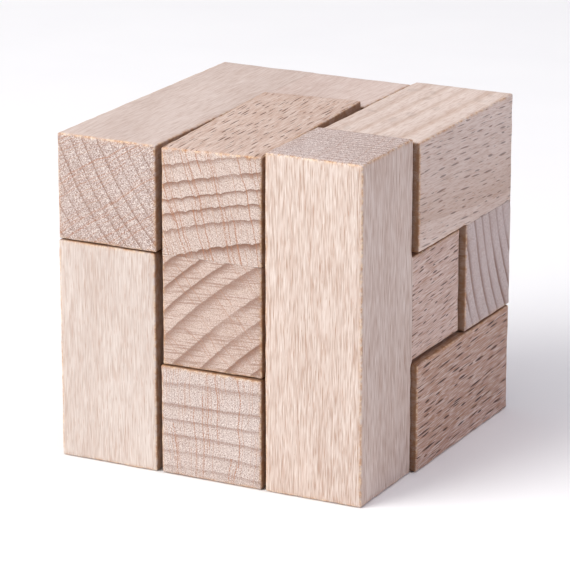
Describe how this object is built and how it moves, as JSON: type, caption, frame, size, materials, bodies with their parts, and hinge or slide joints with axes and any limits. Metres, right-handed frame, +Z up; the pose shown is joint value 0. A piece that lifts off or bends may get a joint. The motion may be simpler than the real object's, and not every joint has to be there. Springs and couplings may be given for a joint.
{
  "type": "wooden puzzle cube",
  "caption": "Wooden assembly puzzle of interlocking beech block pieces, put together as a solid cube.",
  "frame": {"origin": "middle of the cube's footprint, on the surface it stands on", "axes": "+Z up; -Y is the front, where five square ends and bars show; +X is the right-hand side, where the tower bar and the side cube show"},
  "size_m": [0.045, 0.0452, 0.0454],
  "materials": {
    "beech_pale": "pale beech, sanded and left unfinished",
    "beech_rosy": "rosy beech, sanded and left unfinished"
  },
  "bodies": {
    "l_piece": {"l_piece_long_bar": "beech_pale", "l_piece_end_cube": "beech_rosy"},
    "t_piece": {"t_piece_tower_bar": "beech_pale", "t_piece_side_cube": "beech_rosy"},
    "v_piece": {"v_piece_top_bar": "beech_rosy", "v_piece_front_cube": "beech_rosy"},
    "a_piece": {"a_piece_top_bar": "beech_pale", "a_piece_cross_bar": "beech_rosy"},
    "b_piece": {"b_piece_upright_bar": "beech_pale", "b_piece_cross_bar": "beech_pale"},
    "p_piece": {"p_piece_base_bar": "beech_pale", "p_piece_front_cube": "beech_pale", "p_piece_top_cube": "beech_pale"},
    "z_piece": {"z_piece_front_bar": "beech_rosy", "z_piece_side_bar": "beech_rosy"}
  },
  "joints": [
    {"name": "l_piece_lift", "type": "slide", "parent": "z_piece", "child": "l_piece", "axis": [0, 0, 1], "range_m": [0, 0.02]},
    {"name": "v_piece_lift", "type": "slide", "parent": "z_piece", "child": "v_piece", "axis": [0, 0, 1], "range_m": [0, 0.035]},
    {"name": "t_piece_draw", "type": "slide", "parent": "z_piece", "child": "t_piece", "axis": [0, -1, 0], "range_m": [0, 0.035]},
    {"name": "a_piece_draw", "type": "slide", "parent": "z_piece", "child": "a_piece", "axis": [1, 0, 0], "range_m": [0, 0.035]},
    {"name": "b_piece_draw", "type": "slide", "parent": "z_piece", "child": "b_piece", "axis": [-1, 0, 0], "range_m": [0, 0.035]},
    {"name": "p_piece_draw", "type": "slide", "parent": "z_piece", "child": "p_piece", "axis": [0, 1, 0], "range_m": [0, 0.035]}
  ]
}
